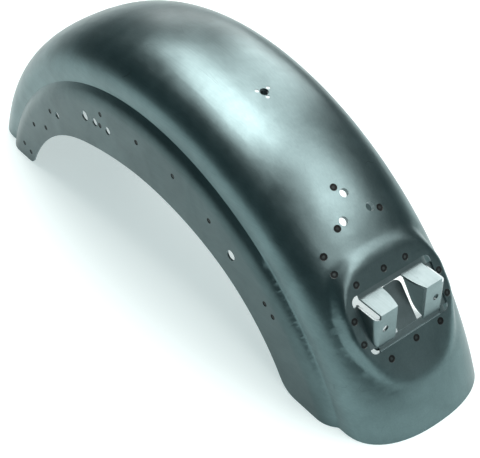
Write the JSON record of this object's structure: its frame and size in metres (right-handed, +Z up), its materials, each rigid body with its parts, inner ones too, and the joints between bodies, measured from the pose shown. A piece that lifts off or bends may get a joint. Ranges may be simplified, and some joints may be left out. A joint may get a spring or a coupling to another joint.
{
  "type": "motorcycle rear fender",
  "caption": "Pressed steel rear fender with a rounded crown, stepped side skirts, a flat pressed pad with a lamp opening, and a folded lamp bracket welded behind it.",
  "frame": {"origin": "centre of the ground contact, on the plane the fender's two level-cut ends stand on", "axes": "+X to the rear (lamp end), +Y to the right side, +Z up"},
  "size_m": [0.6587, 0.166, 0.2359],
  "materials": {
    "fender_shell": "bare pressed sheet steel, cloudy mill finish with fine scratches",
    "tail_light_bracket": "bare cut and folded sheet steel",
    "left_skirt_strap": "bare flat steel strap",
    "right_skirt_strap": "bare flat steel strap",
    "left_front_plate": "bare flat steel plate",
    "right_front_plate": "bare flat steel plate",
    "left_rear_plate": "bare flat steel plate",
    "right_rear_plate": "bare flat steel plate",
    "crown_plate": "bare curved steel plate",
    "seat_nut": "dull turned steel"
  },
  "bodies": {
    "root": {"fender_shell": "fender_shell", "tail_light_bracket": "tail_light_bracket", "left_skirt_strap": "left_skirt_strap", "right_skirt_strap": "right_skirt_strap", "left_front_plate": "left_front_plate", "right_front_plate": "right_front_plate", "left_rear_plate": "left_rear_plate", "right_rear_plate": "right_rear_plate", "crown_plate": "crown_plate", "seat_nut": "seat_nut"}
  },
  "joints": []
}
